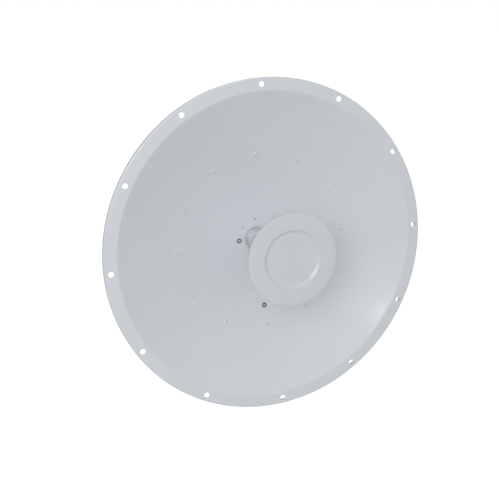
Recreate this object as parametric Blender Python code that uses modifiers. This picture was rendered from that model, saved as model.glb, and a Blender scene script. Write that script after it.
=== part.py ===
"""A parabolic dish antenna: a pressed reflector with a rolled rim, a feed tube with a
flat disc on its front end, and a tilting bracket behind that clamps to a mast.

Metres, +Z up. The dish looks along -Y. The origin is the centre of the mast face, the
flat back of the mast bracket, and the dish's own axis passes through it.
"""

import math

import bmesh
import bpy
from mathutils import Matrix, Vector

# Driving dimensions of the reflector
DISH_RADIUS = 0.325
HOLE_CIRCLE_RADIUS = 0.3125
RIM_HOLE_COUNT = 12
RIM_HOLE_RADIUS = 0.00525
LIP_RADIUS = 0.300
FOCAL_LENGTH = 0.252
SHEET = 0.0015
LIP_BEND = 0.006
RIM_BEND = 0.003
SKIRT_DEPTH = 0.0125

# Driving dimensions of the feed
TUBE_RADIUS = 0.02375
TUBE_WALL = 0.0025
DISC_FRONT = 0.0995
DISC_RADIUS = 0.0862
DISC_DEPTH = 0.0065
DISC_SKIN = 0.0015
DISC_EDGE_RADIUS = 0.0015
RECESS_RADIUS = 0.055
RECESS_DEPTH = 0.005
RECESS_SLOPE = 0.005
PLATE_RADIUS = 0.0845
PLATE_THICKNESS = 0.0015
NECK_LENGTH = 0.025
NECK_TOP_RADIUS = 0.045
NECK_FOOT_RADIUS = 0.0275
LATCH_CLOCK = 302.0
LATCH_HEIGHT = 0.042
LATCH_SIDE = 0.010
REAR_CAP_RADIUS = 0.030
REAR_CAP_THICKNESS = 0.004
CONNECTOR_X = 0.011
CONNECTOR_LENGTH = 0.0105

# Driving dimensions of the back plate and of what fastens through the bowl
BACK_PLATE_THICKNESS = 0.002
BACK_PLATE_DEPTH = 0.112
BACK_PLATE_FLAT_RADIUS = 0.075
BACK_PLATE_FOOT_RADIUS = 0.127
BACK_PLATE_RADIUS = 0.187
BACK_PLATE_BEND = 0.010
HUB_RING_RADIUS = 0.052
HUB_RING_THICKNESS = 0.003
SCREW_HEAD_RADIUS = 0.005
SCREW_HEAD_HEIGHT = 0.003
SCREW_CORE_RADIUS = 0.0015
SCREW_TIP = 0.003
SCREW_TAIL = 0.005
HUB_SCREW_RADIUS = 0.0375
LOWER_SCREW_RADIUS = 0.1375

# Driving dimensions of the bracket
BRACKET_SHEET = 0.003
BRACKET_BEND = 0.006
DISH_BRACKET_HALF_WIDTH = 0.050
DISH_BRACKET_HALF_HEIGHT = 0.062
DISH_BRACKET_DEPTH = 0.067
MAST_BRACKET_HALF_HEIGHT = 0.056
MAST_BRACKET_DEPTH = 0.068
WEB_BACK_Y = -0.088
PIVOT_Y = -0.052
PIVOT_Z = -0.038
TILT_BOLT_Z = 0.038
TILT_SWING = 15.0
BRACKET_BOLT_X = 0.032
BRACKET_BOLT_Z = 0.047
MAST_RADIUS = 0.025
U_BOLT_ROD_RADIUS = 0.004
U_BOLT_Z = 0.036
U_BOLT_TAIL = 0.013

# Driving dimensions of the nuts and bolts
BRACKET_BOLT_RADIUS = 0.004
BRACKET_NUT_FLATS = 0.013
BRACKET_NUT_HEIGHT = 0.0065
TILT_BOLT_RADIUS = 0.005
TILT_FLATS = 0.016
TILT_NUT_HEIGHT = 0.008
TILT_HEAD_HEIGHT = 0.0065

# Gap left between touching pieces, and the number of flats on each kind of round
GAP = 0.0003
BIG_STEPS = 60
BACK_PLATE_STEPS = 48
DISC_STEPS = 48
TUBE_STEPS = 32
SMALL_STEPS = 16
BEND_STEPS = 2

# Derived places
VERTEX_DEPTH = LIP_RADIUS**2 / (4 * FOCAL_LENGTH)
WEB_BACK_DEPTH = BACK_PLATE_DEPTH + BACK_PLATE_THICKNESS + GAP + BRACKET_SHEET
FLANGE_Y = WEB_BACK_Y - WEB_BACK_DEPTH
HUB_HOLE_RADIUS = TUBE_RADIUS + GAP
PLATE_FRONT = DISC_FRONT - DISC_DEPTH - GAP
TUBE_TOP = PLATE_FRONT - PLATE_THICKNESS - GAP
MAST_BRACKET_HALF_WIDTH = DISH_BRACKET_HALF_WIDTH - BRACKET_SHEET - GAP
U_BOLT_X = MAST_RADIUS + 0.001 + U_BOLT_ROD_RADIUS

WHITE_PAINT = ("white_paint", (0.62, 0.64, 0.68), 0.35, 0.0)
WHITE_PLASTIC = ("white_plastic", (0.66, 0.67, 0.69), 0.40, 0.0)
GREY_PLASTIC = ("grey_plastic", (0.40, 0.41, 0.42), 0.50, 0.0)
ALUMINIUM = ("aluminium_sheet", (0.75, 0.76, 0.78), 0.30, 1.0)
ZINC = ("zinc_steel", (0.60, 0.61, 0.62), 0.38, 1.0)
STAINLESS = ("stainless_steel", (0.55, 0.56, 0.58), 0.25, 1.0)
BRASS = ("gilt_brass", (0.80, 0.62, 0.30), 0.30, 1.0)


def clear_scene():
    for old in list(bpy.data.objects):
        bpy.data.objects.remove(old, do_unlink=True)


def new_collection(name):
    made = bpy.data.collections.new(name)
    bpy.context.scene.collection.children.link(made)
    return made


def material(spec):
    name, colour, roughness, metallic = spec
    found = bpy.data.materials.get(name)
    if found:
        return found
    made = bpy.data.materials.new(name)
    made.use_nodes = True
    shader = made.node_tree.nodes["Principled BSDF"]
    shader.inputs["Base Color"].default_value = (*colour, 1.0)
    shader.inputs["Roughness"].default_value = roughness
    shader.inputs["Metallic"].default_value = metallic
    return made


# Outlines

def filleted(corners, steps=BEND_STEPS):
    """Points along a path whose corners are (x, y) or (x, y, radius)."""
    points = []
    for index, corner in enumerate(corners):
        here = Vector(corner[:2])
        radius = corner[2] if len(corner) > 2 else 0.0
        if not radius:
            points.append(here)
            continue
        before = (Vector(corners[index - 1][:2]) - here).normalized()
        after = (Vector(corners[(index + 1) % len(corners)][:2]) - here).normalized()
        half = before.angle(after) / 2
        centre = here + (before + after).normalized() * radius / math.sin(half)
        start = here + before * radius / math.tan(half) - centre
        end = here + after * radius / math.tan(half) - centre
        turn = start.angle_signed(end)
        for step in range(steps + 1):
            angle = -turn * step / steps
            points.append(centre + Matrix.Rotation(angle, 2) @ start)
    return points


def arc_points(centre, radius, start, end, steps):
    """Points on an arc, angles in radians from the first axis."""
    angles = [start + (end - start) * step / steps for step in range(steps + 1)]
    return [Vector((centre[0] + radius * math.cos(a), centre[1] + radius * math.sin(a))) for a in angles]


# The bowl

def bowl_height(radius):
    """Height of the bowl's front over the flange plane, so it is negative inside."""
    return radius**2 / (4 * FOCAL_LENGTH) - VERTEX_DEPTH


def bowl_slope(radius):
    return math.atan(radius / (2 * FOCAL_LENGTH))


def behind_bowl(radius, offset):
    """The profile point that lies offset behind the bowl's front at this radius."""
    slope = bowl_slope(radius)
    return Vector((radius + offset * math.sin(slope), bowl_height(radius) - offset * math.cos(slope)))


def bowl_frame(radius, clock):
    """A frame on the bowl's front, its Z the normal. The clock is in degrees from the top, to the right."""
    turn = Matrix.Rotation(math.radians(-clock), 4, "Z")
    place = Matrix.Translation((0, radius, bowl_height(radius)))
    lean = Matrix.Rotation(bowl_slope(radius), 4, "X")
    return turn @ place @ lean


# Making objects

def add_object(name, data, collection, parent=None, matrix=None):
    made = bpy.data.objects.new(name, data)
    collection.objects.link(made)
    made.parent = parent
    made.matrix_local = matrix or Matrix.Identity(4)
    return made


def mesh_from(name, make):
    """A mesh filled by a function that works on a bmesh."""
    work = bmesh.new()
    make(work)
    mesh = bpy.data.meshes.new(name)
    work.to_mesh(mesh)
    work.free()
    return mesh


def path_mesh(name, points, closed):
    """A chain of edges in the XZ plane, for the Screw modifier."""
    def make(work):
        verts = [work.verts.new((p[0], 0, p[1])) for p in points]
        for first, second in zip(verts, verts[1:]):
            work.edges.new((first, second))
        if closed:
            work.edges.new((verts[-1], verts[0]))
    return mesh_from(name, make)


def add_screw(piece, steps):
    screw = piece.modifiers.new("Turn", "SCREW")
    screw.steps = steps
    screw.render_steps = steps
    screw.use_merge_vertices = True
    screw.merge_threshold = 0.00005
    screw.use_smooth_shade = True


def turned(name, points, steps, collection, closed=False, parent=None, matrix=None):
    """A solid of revolution about local Z, from a profile that runs down its outer side."""
    piece = add_object(name, path_mesh(name, points, closed), collection, parent, matrix)
    add_screw(piece, steps)
    return piece


def turned_sheet(name, points, thickness, steps, collection, parent=None):
    """A sheet of revolution: the profile is its front, and the sheet lies behind it."""
    piece = turned(name, points, steps, collection, parent=parent)
    solidify = piece.modifiers.new("Sheet", "SOLIDIFY")
    solidify.thickness = thickness
    solidify.offset = -1.0
    solidify.use_even_offset = True
    return piece


def outline_curve(name, points, thickness, collection, matrix):
    """A flat outline in the frame's XY plane, made thick both ways along its Z."""
    curve = bpy.data.curves.new(name, "CURVE")
    curve.dimensions = "2D"
    curve.fill_mode = "BOTH"
    curve.extrude = thickness / 2
    spline = curve.splines.new("POLY")
    spline.points.add(len(points) - 1)
    for point, place in zip(spline.points, points):
        point.co = (place[0], place[1], 0, 1)
    spline.use_cyclic_u = True
    return add_object(name, curve, collection, matrix=matrix)


def rod_curve(name, points, radius, collection):
    """A round rod along a chain of points."""
    curve = bpy.data.curves.new(name, "CURVE")
    curve.dimensions = "3D"
    curve.bevel_depth = radius
    curve.bevel_resolution = 2
    curve.use_fill_caps = True
    spline = curve.splines.new("POLY")
    spline.points.add(len(points) - 1)
    for point, place in zip(spline.points, points):
        point.co = (*place, 1)
    return add_object(name, curve, collection)


def as_mesh(source):
    """The same object as a closed mesh, with the curve's loose caps welded."""
    graph = bpy.context.evaluated_depsgraph_get()
    mesh = bpy.data.meshes.new_from_object(source.evaluated_get(graph))
    work = bmesh.new()
    work.from_mesh(mesh)
    bmesh.ops.remove_doubles(work, verts=work.verts, dist=0.000001)
    bmesh.ops.recalc_face_normals(work, faces=work.faces)
    work.to_mesh(mesh)
    work.free()
    name, matrix, collection = source.name, source.matrix_world.copy(), source.users_collection[0]
    bpy.data.objects.remove(source, do_unlink=True)
    return add_object(name, mesh, collection, matrix=matrix)


def prism(name, points, thickness, collection, matrix):
    curve = outline_curve(name, points, thickness, collection, matrix)
    bpy.context.view_layer.update()
    return as_mesh(curve)


def hide_helper(piece):
    piece.hide_render = True
    piece.display_type = "WIRE"
    return piece


def add_boolean(piece, other, operation):
    boolean = piece.modifiers.new(other.name, "BOOLEAN")
    boolean.operation = operation
    boolean.solver = "EXACT"
    boolean.object = hide_helper(other)


def add_cylinders(work, frames, radius, length, steps):
    for frame in frames:
        bmesh.ops.create_cone(
            work, cap_ends=True, segments=steps, radius1=radius, radius2=radius, depth=length, matrix=frame
        )


def cut_holes(piece, name, frames, radius, length, cutters, parent=None, steps=SMALL_STEPS):
    """Round holes along the Z of each frame."""
    mesh = mesh_from(name, lambda work: add_cylinders(work, frames, radius, length, steps))
    add_boolean(piece, add_object(name, mesh, cutters, parent), "DIFFERENCE")


def finish(piece, spec):
    piece.data.materials.append(material(spec))
    return piece


# The reflector

def reflector_profile():
    """Front of the sheet: bowl, bend at the lip, flat flange, rolled rim and skirt."""
    slope = bowl_slope(LIP_RADIUS)
    bowl_end = LIP_RADIUS - LIP_BEND * math.tan(slope / 2) * math.cos(slope)
    stations = 10
    radii = [HUB_HOLE_RADIUS + (bowl_end - HUB_HOLE_RADIUS) * i / stations for i in range(stations)]
    bowl = [Vector((r, bowl_height(r))) for r in radii]
    rim = filleted(
        [bowl[-1], (LIP_RADIUS, 0, LIP_BEND), (DISH_RADIUS, 0, RIM_BEND), (DISH_RADIUS, -SKIRT_DEPTH)]
    )
    return bowl + rim[1:]


def rim_hole_frames():
    step = 2 * math.pi / RIM_HOLE_COUNT
    turns = [Matrix.Rotation(step * index, 4, "Z") for index in range(RIM_HOLE_COUNT)]
    return [turn @ Matrix.Translation((0, HOLE_CIRCLE_RADIUS, 0)) for turn in turns]


def hub_screw_frames():
    return [bowl_frame(HUB_SCREW_RADIUS, 270), bowl_frame(HUB_SCREW_RADIUS, 90)]


def make_reflector(parts, cutters, axis):
    reflector = turned_sheet("reflector", reflector_profile(), SHEET, BIG_STEPS, parts, axis)
    cut_holes(reflector, "rim_hole_cutter", rim_hole_frames(), RIM_HOLE_RADIUS, 0.01, cutters, axis)
    screws = hub_screw_frames() + [bowl_frame(LOWER_SCREW_RADIUS, 180)]
    cut_holes(reflector, "screw_hole_cutter", screws, SCREW_CORE_RADIUS + GAP, 0.01, cutters, axis)
    finish(reflector, WHITE_PAINT)


# The feed

def make_feed_tube(parts, cutters, axis):
    inner = TUBE_RADIUS - TUBE_WALL
    rear = -WEB_BACK_DEPTH
    wall = [(inner, TUBE_TOP), (TUBE_RADIUS, TUBE_TOP), (TUBE_RADIUS, rear), (inner, rear)]
    tube = turned("feed_tube", wall, TUBE_STEPS, parts, closed=True, parent=axis)
    window = latch_block("latch_window_cutter", LATCH_SIDE + 2 * GAP, cutters, axis)
    add_boolean(tube, window, "DIFFERENCE")
    finish(tube, WHITE_PLASTIC)


def latch_block(name, side, collection, axis):
    """A block through one wall of the tube, where the latch sits."""
    size = Matrix.Diagonal((side, 4 * TUBE_WALL, side, 1))
    turn = Matrix.Rotation(math.radians(-LATCH_CLOCK), 4, "Z")
    place = Matrix.Translation((0, TUBE_RADIUS, LATCH_HEIGHT - VERTEX_DEPTH))
    mesh = mesh_from(name, lambda work: bmesh.ops.create_cube(work, size=1, matrix=turn @ place @ size))
    return add_object(name, mesh, collection, axis)


def make_feed_latch(parts, cutters, axis):
    """The tongue in the tube's wall that locks the feed."""
    inner = TUBE_RADIUS - TUBE_WALL
    middle = LATCH_HEIGHT - VERTEX_DEPTH
    high, low = middle + LATCH_SIDE, middle - LATCH_SIDE
    ring = [(inner, high), (TUBE_RADIUS, high), (TUBE_RADIUS, low), (inner, low)]
    latch = turned("feed_latch", ring, TUBE_STEPS, parts, closed=True, parent=axis)
    add_boolean(latch, latch_block("latch_shape", LATCH_SIDE, cutters, axis), "INTERSECT")
    finish(latch, GREY_PLASTIC)


def make_feed_neck(parts, axis):
    bore = TUBE_RADIUS + GAP
    foot = TUBE_TOP - NECK_LENGTH
    profile = filleted([
        (bore, TUBE_TOP),
        (NECK_TOP_RADIUS, TUBE_TOP),
        (NECK_TOP_RADIUS, TUBE_TOP - 0.003),
        (NECK_FOOT_RADIUS, foot + 0.006, 0.008),
        (NECK_FOOT_RADIUS, foot),
        (bore, foot),
    ])
    finish(turned("feed_neck", profile, TUBE_STEPS, parts, closed=True, parent=axis), WHITE_PLASTIC)


def make_subreflector_plate(parts, axis):
    back = PLATE_FRONT - PLATE_THICKNESS
    profile = [(0, PLATE_FRONT), (PLATE_RADIUS, PLATE_FRONT), (PLATE_RADIUS, back), (0, back)]
    finish(turned("subreflector_plate", profile, DISC_STEPS, parts, parent=axis), ALUMINIUM)


def make_feed_disc_cover(parts, axis):
    """A moulded lid with a sunk middle, one skin thick all over."""
    floor = DISC_FRONT - RECESS_DEPTH
    back = DISC_FRONT - DISC_DEPTH
    inside = DISC_RADIUS - DISC_SKIN
    recess_foot = RECESS_RADIUS - RECESS_SLOPE
    profile = filleted([
        (0, floor),
        (recess_foot, floor, 0.0015),
        (RECESS_RADIUS, DISC_FRONT, 0.001),
        (DISC_RADIUS, DISC_FRONT, DISC_EDGE_RADIUS),
        (DISC_RADIUS, back),
        (inside, back),
        (inside, DISC_FRONT - DISC_SKIN),
        (RECESS_RADIUS + DISC_SKIN / 2, DISC_FRONT - DISC_SKIN),
        (recess_foot + DISC_SKIN / 2, back),
        (0, back),
    ])
    finish(turned("feed_disc_cover", profile, DISC_STEPS, parts, parent=axis), WHITE_PLASTIC)


def make_feed_rear_cap(parts, axis):
    """Closes the tube's back end: a spigot in the tube and a flange on the bracket."""
    seat = -WEB_BACK_DEPTH - GAP
    spigot = TUBE_RADIUS - TUBE_WALL - GAP
    profile = filleted([
        (0, seat + 0.009),
        (spigot, seat + 0.009),
        (spigot, seat),
        (REAR_CAP_RADIUS, seat),
        (REAR_CAP_RADIUS, seat - REAR_CAP_THICKNESS, 0.0015),
        (0, seat - REAR_CAP_THICKNESS),
    ])
    finish(turned("feed_rear_cap", profile, TUBE_STEPS, parts, parent=axis), GREY_PLASTIC)


def make_connectors(parts, axis):
    """Two coaxial sockets on the rear cap, each with a threaded barrel and a centre pin."""
    profile = [
        (0, 0),
        (0.0048, 0),
        (0.0048, -0.002),
        (0.0032, -0.002),
        (0.0032, -CONNECTOR_LENGTH),
        (0.0024, -CONNECTOR_LENGTH),
        (0.0024, -0.0045),
        (0.0007, -0.0045),
        (0.0007, -0.0095),
        (0, -0.0095),
    ]
    seat = -WEB_BACK_DEPTH - REAR_CAP_THICKNESS - 2 * GAP
    for side, x in (("left", -CONNECTOR_X), ("right", CONNECTOR_X)):
        place = Matrix.Translation((x, 0, seat))
        name = f"rf_connector_{side}"
        finish(turned(name, profile, SMALL_STEPS, parts, parent=axis, matrix=place), BRASS)


# Back plate, hub ring and the screws through the bowl

def make_back_plate(parts, cutters, axis):
    """A pressed plate riveted to the bowl's back, with a flat middle that carries the bracket."""
    stations = 3
    width = BACK_PLATE_RADIUS - BACK_PLATE_FOOT_RADIUS
    radii = [BACK_PLATE_FOOT_RADIUS + width * i / stations for i in range(stations + 1)]
    foot = [behind_bowl(r, SHEET + GAP) for r in radii]
    corners = [
        (HUB_HOLE_RADIUS, -BACK_PLATE_DEPTH),
        (BACK_PLATE_FLAT_RADIUS, -BACK_PLATE_DEPTH, BACK_PLATE_BEND),
        (*foot[0], BACK_PLATE_BEND),
        *foot[1:],
    ]
    front = filleted(corners)
    plate = turned_sheet("back_plate", front, BACK_PLATE_THICKNESS, BACK_PLATE_STEPS, parts, axis)
    lower = [bowl_frame(LOWER_SCREW_RADIUS, 180)]
    cut_holes(plate, "lower_screw_hole_cutter", lower, SCREW_CORE_RADIUS + GAP, 0.02, cutters, axis)
    bolts = [Matrix.Translation((x, z, -BACK_PLATE_DEPTH)) for x, z in bracket_bolt_places()]
    cut_holes(plate, "bracket_bolt_hole_cutter", bolts, BRACKET_BOLT_RADIUS + GAP, 0.01, cutters, axis)
    finish(plate, WHITE_PAINT)


def make_hub_ring(parts, cutters, axis):
    """A thick ring behind the bowl's middle, which the two hub screws bite into."""
    stations = 2
    width = HUB_RING_RADIUS - HUB_HOLE_RADIUS
    radii = [HUB_HOLE_RADIUS + width * i / stations for i in range(stations + 1)]
    profile = [behind_bowl(r, SHEET + GAP) for r in radii]
    ring = turned_sheet("hub_ring", profile, HUB_RING_THICKNESS, TUBE_STEPS, parts, axis)
    hole = SCREW_CORE_RADIUS + GAP
    cut_holes(ring, "hub_screw_hole_cutter", hub_screw_frames(), hole, 0.03, cutters, axis)
    finish(ring, WHITE_PAINT)


def screw_profile(length):
    """A self-tapping screw: a domed head and a pointed shank as thick as the thread's core."""
    rise, half = SCREW_HEAD_HEIGHT, SCREW_HEAD_RADIUS
    dome_radius = (half**2 + rise**2) / (2 * rise)
    top = math.asin(half / dome_radius)
    dome = arc_points((0, rise - dome_radius), dome_radius, math.pi / 2, math.pi / 2 - top, 4)
    core = SCREW_CORE_RADIUS
    return dome + [(core, 0), (core, SCREW_TIP - length), (0, -length)]


def make_bowl_screws(parts, axis):
    through_bowl = GAP + SHEET + GAP
    hub_length = through_bowl + HUB_RING_THICKNESS + SCREW_TAIL
    lower_length = through_bowl + BACK_PLATE_THICKNESS + SCREW_TAIL
    lift = Matrix.Translation((0, 0, GAP))
    left, right = hub_screw_frames()
    lower = bowl_frame(LOWER_SCREW_RADIUS, 180)
    places = (
        ("hub_screw_left", left, hub_length),
        ("hub_screw_right", right, hub_length),
        ("lower_screw", lower, lower_length),
    )
    for name, frame, length in places:
        profile = screw_profile(length)
        finish(turned(name, profile, SMALL_STEPS, parts, parent=axis, matrix=frame @ lift), STAINLESS)


# Nuts and bolts

def nut_mesh(name, across_flats, height, thread, parts, cutters):
    """A hexagon nut that stands on height zero, as one mesh for all the nuts of its size."""
    corner = across_flats / math.sqrt(3)
    middle = Matrix.Translation((0, 0, height / 2))
    body = mesh_from(name, lambda work: add_cylinders(work, [middle], corner, height, 6))
    nut = add_object(name, body, parts)
    cut_holes(nut, f"{name}_bore_cutter", [middle], thread + GAP, 2 * height, cutters)
    bpy.context.view_layer.update()
    graph = bpy.context.evaluated_depsgraph_get()
    mesh = bpy.data.meshes.new_from_object(nut.evaluated_get(graph))
    bpy.data.objects.remove(nut, do_unlink=True)
    mesh.materials.append(material(ZINC))
    return mesh


def bracket_bolt_places():
    return [(x, z) for z in (BRACKET_BOLT_Z, -BRACKET_BOLT_Z) for x in (-BRACKET_BOLT_X, BRACKET_BOLT_X)]


def make_bracket_bolts(parts, nut, axis):
    """Four low-headed bolts whose heads lie inside the back plate, and their nuts."""
    seat = -BACK_PLATE_DEPTH + GAP
    tail = -WEB_BACK_DEPTH - BRACKET_NUT_HEIGHT - 0.003
    profile = [
        (0, seat + 0.004),
        (0.006, seat + 0.004),
        (0.008, seat + 0.002),
        (0.008, seat),
        (BRACKET_BOLT_RADIUS, seat),
        (BRACKET_BOLT_RADIUS, tail),
        (0, tail),
    ]
    flip = Matrix.Rotation(math.pi, 4, "X")
    for number, (x, z) in enumerate(bracket_bolt_places(), 1):
        place = Matrix.Translation((x, z, 0))
        finish(turned(f"bracket_bolt_{number}", profile, SMALL_STEPS, parts, parent=axis, matrix=place), ZINC)
        nut_place = Matrix.Translation((x, z, -WEB_BACK_DEPTH - GAP)) @ flip
        add_object(f"bracket_nut_{number}", nut, parts, axis, nut_place)


def make_tilt_bolt(name, z, parts, cutters, nut):
    """A hexagon bolt across all four ears at this height, with its nut."""
    seat = DISH_BRACKET_HALF_WIDTH + GAP
    tail = seat + TILT_NUT_HEIGHT + 0.003
    start = -seat - TILT_HEAD_HEIGHT / 2
    along_x = Matrix.Rotation(math.pi / 2, 4, "Y")
    place = Matrix.Translation((0, PIVOT_Y, z)) @ along_x
    shank_middle = [Matrix.Translation((0, 0, (tail + start) / 2))]
    head_middle = [Matrix.Translation((0, 0, start))]
    corner = TILT_FLATS / math.sqrt(3)
    shank = mesh_from(
        name, lambda work: add_cylinders(work, shank_middle, TILT_BOLT_RADIUS, tail - start, SMALL_STEPS)
    )
    head = mesh_from(
        f"{name}_head", lambda work: add_cylinders(work, head_middle, corner, TILT_HEAD_HEIGHT, 6)
    )
    bolt = add_object(name, shank, parts, matrix=place)
    add_boolean(bolt, add_object(f"{name}_head", head, cutters, matrix=place), "UNION")
    finish(bolt, ZINC)
    nut_place = Matrix.Translation((seat + GAP, PIVOT_Y, z)) @ along_x
    add_object(name.replace("bolt", "nut"), nut, parts, matrix=nut_place)


# Brackets

def channel_section(half_width, web_y, ear_y):
    """Outline of a U-shaped section in XY, its web's outer face at web_y and its ears' ends at ear_y."""
    sheet = BRACKET_SHEET if ear_y > web_y else -BRACKET_SHEET
    inner_bend = BRACKET_BEND - BRACKET_SHEET
    inner = half_width - BRACKET_SHEET
    return filleted([
        (-half_width, ear_y),
        (-half_width, web_y, BRACKET_BEND),
        (half_width, web_y, BRACKET_BEND),
        (half_width, ear_y),
        (inner, ear_y),
        (inner, web_y + sheet, inner_bend),
        (-inner, web_y + sheet, inner_bend),
        (-inner, ear_y),
    ])


def side_frame():
    """A frame whose X runs along world Y and whose Y runs up, for outlines seen from the side."""
    return Matrix(((0, 0, 1, 0), (1, 0, 0, 0), (0, 1, 0, 0), (0, 0, 0, 1)))


def cross_frames(places):
    """Frames with Z across the bracket, at (y, z) places."""
    along_x = Matrix.Rotation(math.pi / 2, 4, "Y")
    return [Matrix.Translation((0, y, z)) @ along_x for y, z in places]


def axial_frames(places):
    """Frames with Z along the dish's axis, at (x, z) places on the webs."""
    along_y = Matrix.Rotation(math.pi / 2, 4, "X")
    return [Matrix.Translation((x, 0, z)) @ along_y for x, z in places]


def make_dish_bracket(parts, cutters):
    """The channel bolted to the back plate, its ears slotted for the tilt."""
    web = WEB_BACK_Y - BRACKET_SHEET
    ear = web + DISH_BRACKET_DEPTH
    height = DISH_BRACKET_HALF_HEIGHT
    section = channel_section(DISH_BRACKET_HALF_WIDTH, web, ear)
    bracket = prism("dish_bracket", section, 2 * height, parts, Matrix.Identity(4))
    side = filleted([
        (web - 0.01, -height - 0.01),
        (web + 0.022, -height - 0.01),
        (web + 0.022, -height, 0.012),
        (ear, -height + 0.008, 0.014),
        (ear, height - 0.008, 0.014),
        (web + 0.022, height, 0.012),
        (web + 0.022, height + 0.01),
        (web - 0.01, height + 0.01),
    ])
    add_boolean(bracket, prism("dish_bracket_side", side, 0.2, cutters, side_frame()), "INTERSECT")
    radius = TILT_BOLT_Z - PIVOT_Z
    swing = math.radians(TILT_SWING)
    half = TILT_BOLT_RADIUS + GAP
    upright = math.pi / 2
    centre = (PIVOT_Y, PIVOT_Z)
    slot = arc_points(centre, radius + half, upright + swing, upright - swing, 8)
    slot += arc_points(slot_end(-swing), half, upright - swing, -upright - swing, 6)[1:]
    slot += arc_points(centre, radius - half, upright - swing, upright + swing, 8)[1:]
    slot += arc_points(slot_end(swing), half, swing - upright, swing - 3 * upright, 6)[1:-1]
    add_boolean(bracket, prism("tilt_slot_cutter", slot, 0.2, cutters, side_frame()), "DIFFERENCE")
    pivot = cross_frames([(PIVOT_Y, PIVOT_Z)])
    cut_holes(bracket, "dish_pivot_cutter", pivot, TILT_BOLT_RADIUS + GAP, 0.2, cutters)
    centre_hole = [Matrix.Translation((0, WEB_BACK_Y, 0)) @ axial_frames([(0, 0)])[0]]
    cut_holes(bracket, "tube_hole_cutter", centre_hole, HUB_HOLE_RADIUS, 0.02, cutters, steps=TUBE_STEPS)
    bolts = [Matrix.Translation((0, WEB_BACK_Y, 0)) @ frame for frame in axial_frames(bracket_bolt_places())]
    cut_holes(bracket, "web_bolt_hole_cutter", bolts, BRACKET_BOLT_RADIUS + GAP, 0.02, cutters)
    finish(bracket, WHITE_PAINT)


def slot_end(swing):
    """Centre of the tilt slot's round end, turned by swing from upright about the pivot."""
    radius = TILT_BOLT_Z - PIVOT_Z
    angle = math.pi / 2 + swing
    return (PIVOT_Y + radius * math.cos(angle), PIVOT_Z + radius * math.sin(angle))


def make_mast_bracket(parts, cutters):
    """The channel between the dish bracket's ears, its flat back against the mast."""
    height = MAST_BRACKET_HALF_HEIGHT
    front = -MAST_BRACKET_DEPTH
    section = channel_section(MAST_BRACKET_HALF_WIDTH, 0, front)
    bracket = prism("mast_bracket", section, 2 * height, parts, Matrix.Identity(4))
    side = filleted([
        (0.01, height + 0.01),
        (-0.015, height + 0.01),
        (-0.015, height, 0.012),
        (front, height - 0.006, 0.014),
        (front, -height + 0.006, 0.014),
        (-0.015, -height, 0.012),
        (-0.015, -height - 0.01),
        (0.01, -height - 0.01),
    ])
    add_boolean(bracket, prism("mast_bracket_side", side, 0.2, cutters, side_frame()), "INTERSECT")
    bolts = cross_frames([(PIVOT_Y, PIVOT_Z), (PIVOT_Y, TILT_BOLT_Z)])
    cut_holes(bracket, "mast_ear_cutter", bolts, TILT_BOLT_RADIUS + GAP, 0.2, cutters)
    legs = axial_frames([(x, z) for x in (-U_BOLT_X, U_BOLT_X) for z in (-U_BOLT_Z, U_BOLT_Z)])
    cut_holes(bracket, "u_bolt_hole_cutter", legs, U_BOLT_ROD_RADIUS + GAP, 0.02, cutters)
    finish(bracket, WHITE_PAINT)


def make_u_bolts(parts, nut):
    """Two U-bolts round a 50 mm mast, with a nut on each leg inside the mast bracket."""
    bend = arc_points((0, MAST_RADIUS), U_BOLT_X, math.pi, 0, 12)
    path = [(-U_BOLT_X, -U_BOLT_TAIL), *bend, (U_BOLT_X, -U_BOLT_TAIL)]
    seat = -BRACKET_SHEET - GAP
    forward = Matrix.Rotation(math.pi / 2, 4, "X")
    for level, z in (("upper", U_BOLT_Z), ("lower", -U_BOLT_Z)):
        rod = rod_curve(f"u_bolt_{level}", [(x, y, z) for x, y in path], U_BOLT_ROD_RADIUS, parts)
        finish(rod, ZINC)
        for side, x in (("left", -U_BOLT_X), ("right", U_BOLT_X)):
            place = Matrix.Translation((x, seat, z)) @ forward
            add_object(f"u_bolt_nut_{level}_{side}", nut, parts, matrix=place)


def make_axis_empty(parts):
    """The dish's own frame: X to the right and Y up, seen from the front, and Z out of the bowl."""
    matrix = Matrix.Translation((0, FLANGE_Y, 0)) @ Matrix.Rotation(math.pi / 2, 4, "X")
    axis = add_object("dish_axis", None, parts, matrix=matrix)
    bpy.context.view_layer.update()
    return axis


def main():
    clear_scene()
    parts = new_collection("parabolic_dish_antenna")
    cutters = new_collection("cutters")
    axis = make_axis_empty(parts)

    make_reflector(parts, cutters, axis)
    make_back_plate(parts, cutters, axis)
    make_hub_ring(parts, cutters, axis)

    make_feed_tube(parts, cutters, axis)
    make_feed_latch(parts, cutters, axis)
    make_feed_neck(parts, axis)
    make_subreflector_plate(parts, axis)
    make_feed_disc_cover(parts, axis)
    make_feed_rear_cap(parts, axis)
    make_connectors(parts, axis)

    bolt = BRACKET_BOLT_RADIUS
    small_nut = nut_mesh("nut_m8", BRACKET_NUT_FLATS, BRACKET_NUT_HEIGHT, bolt, parts, cutters)
    large_nut = nut_mesh("nut_m10", TILT_FLATS, TILT_NUT_HEIGHT, TILT_BOLT_RADIUS, parts, cutters)
    make_bowl_screws(parts, axis)
    make_bracket_bolts(parts, small_nut, axis)

    make_dish_bracket(parts, cutters)
    make_mast_bracket(parts, cutters)
    make_tilt_bolt("pivot_bolt", PIVOT_Z, parts, cutters, large_nut)
    make_tilt_bolt("tilt_lock_bolt", TILT_BOLT_Z, parts, cutters, large_nut)
    make_u_bolts(parts, small_nut)


main()
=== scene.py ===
"""The looks of a parabolic dish antenna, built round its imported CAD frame.

Metres, +Z up, and the dish looks along -Y. Most pieces are made in the dish's own frame, which
has X to the right and Y up, seen from the front, and Z out of the bowl with the flange at zero.
"""

import math

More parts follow.
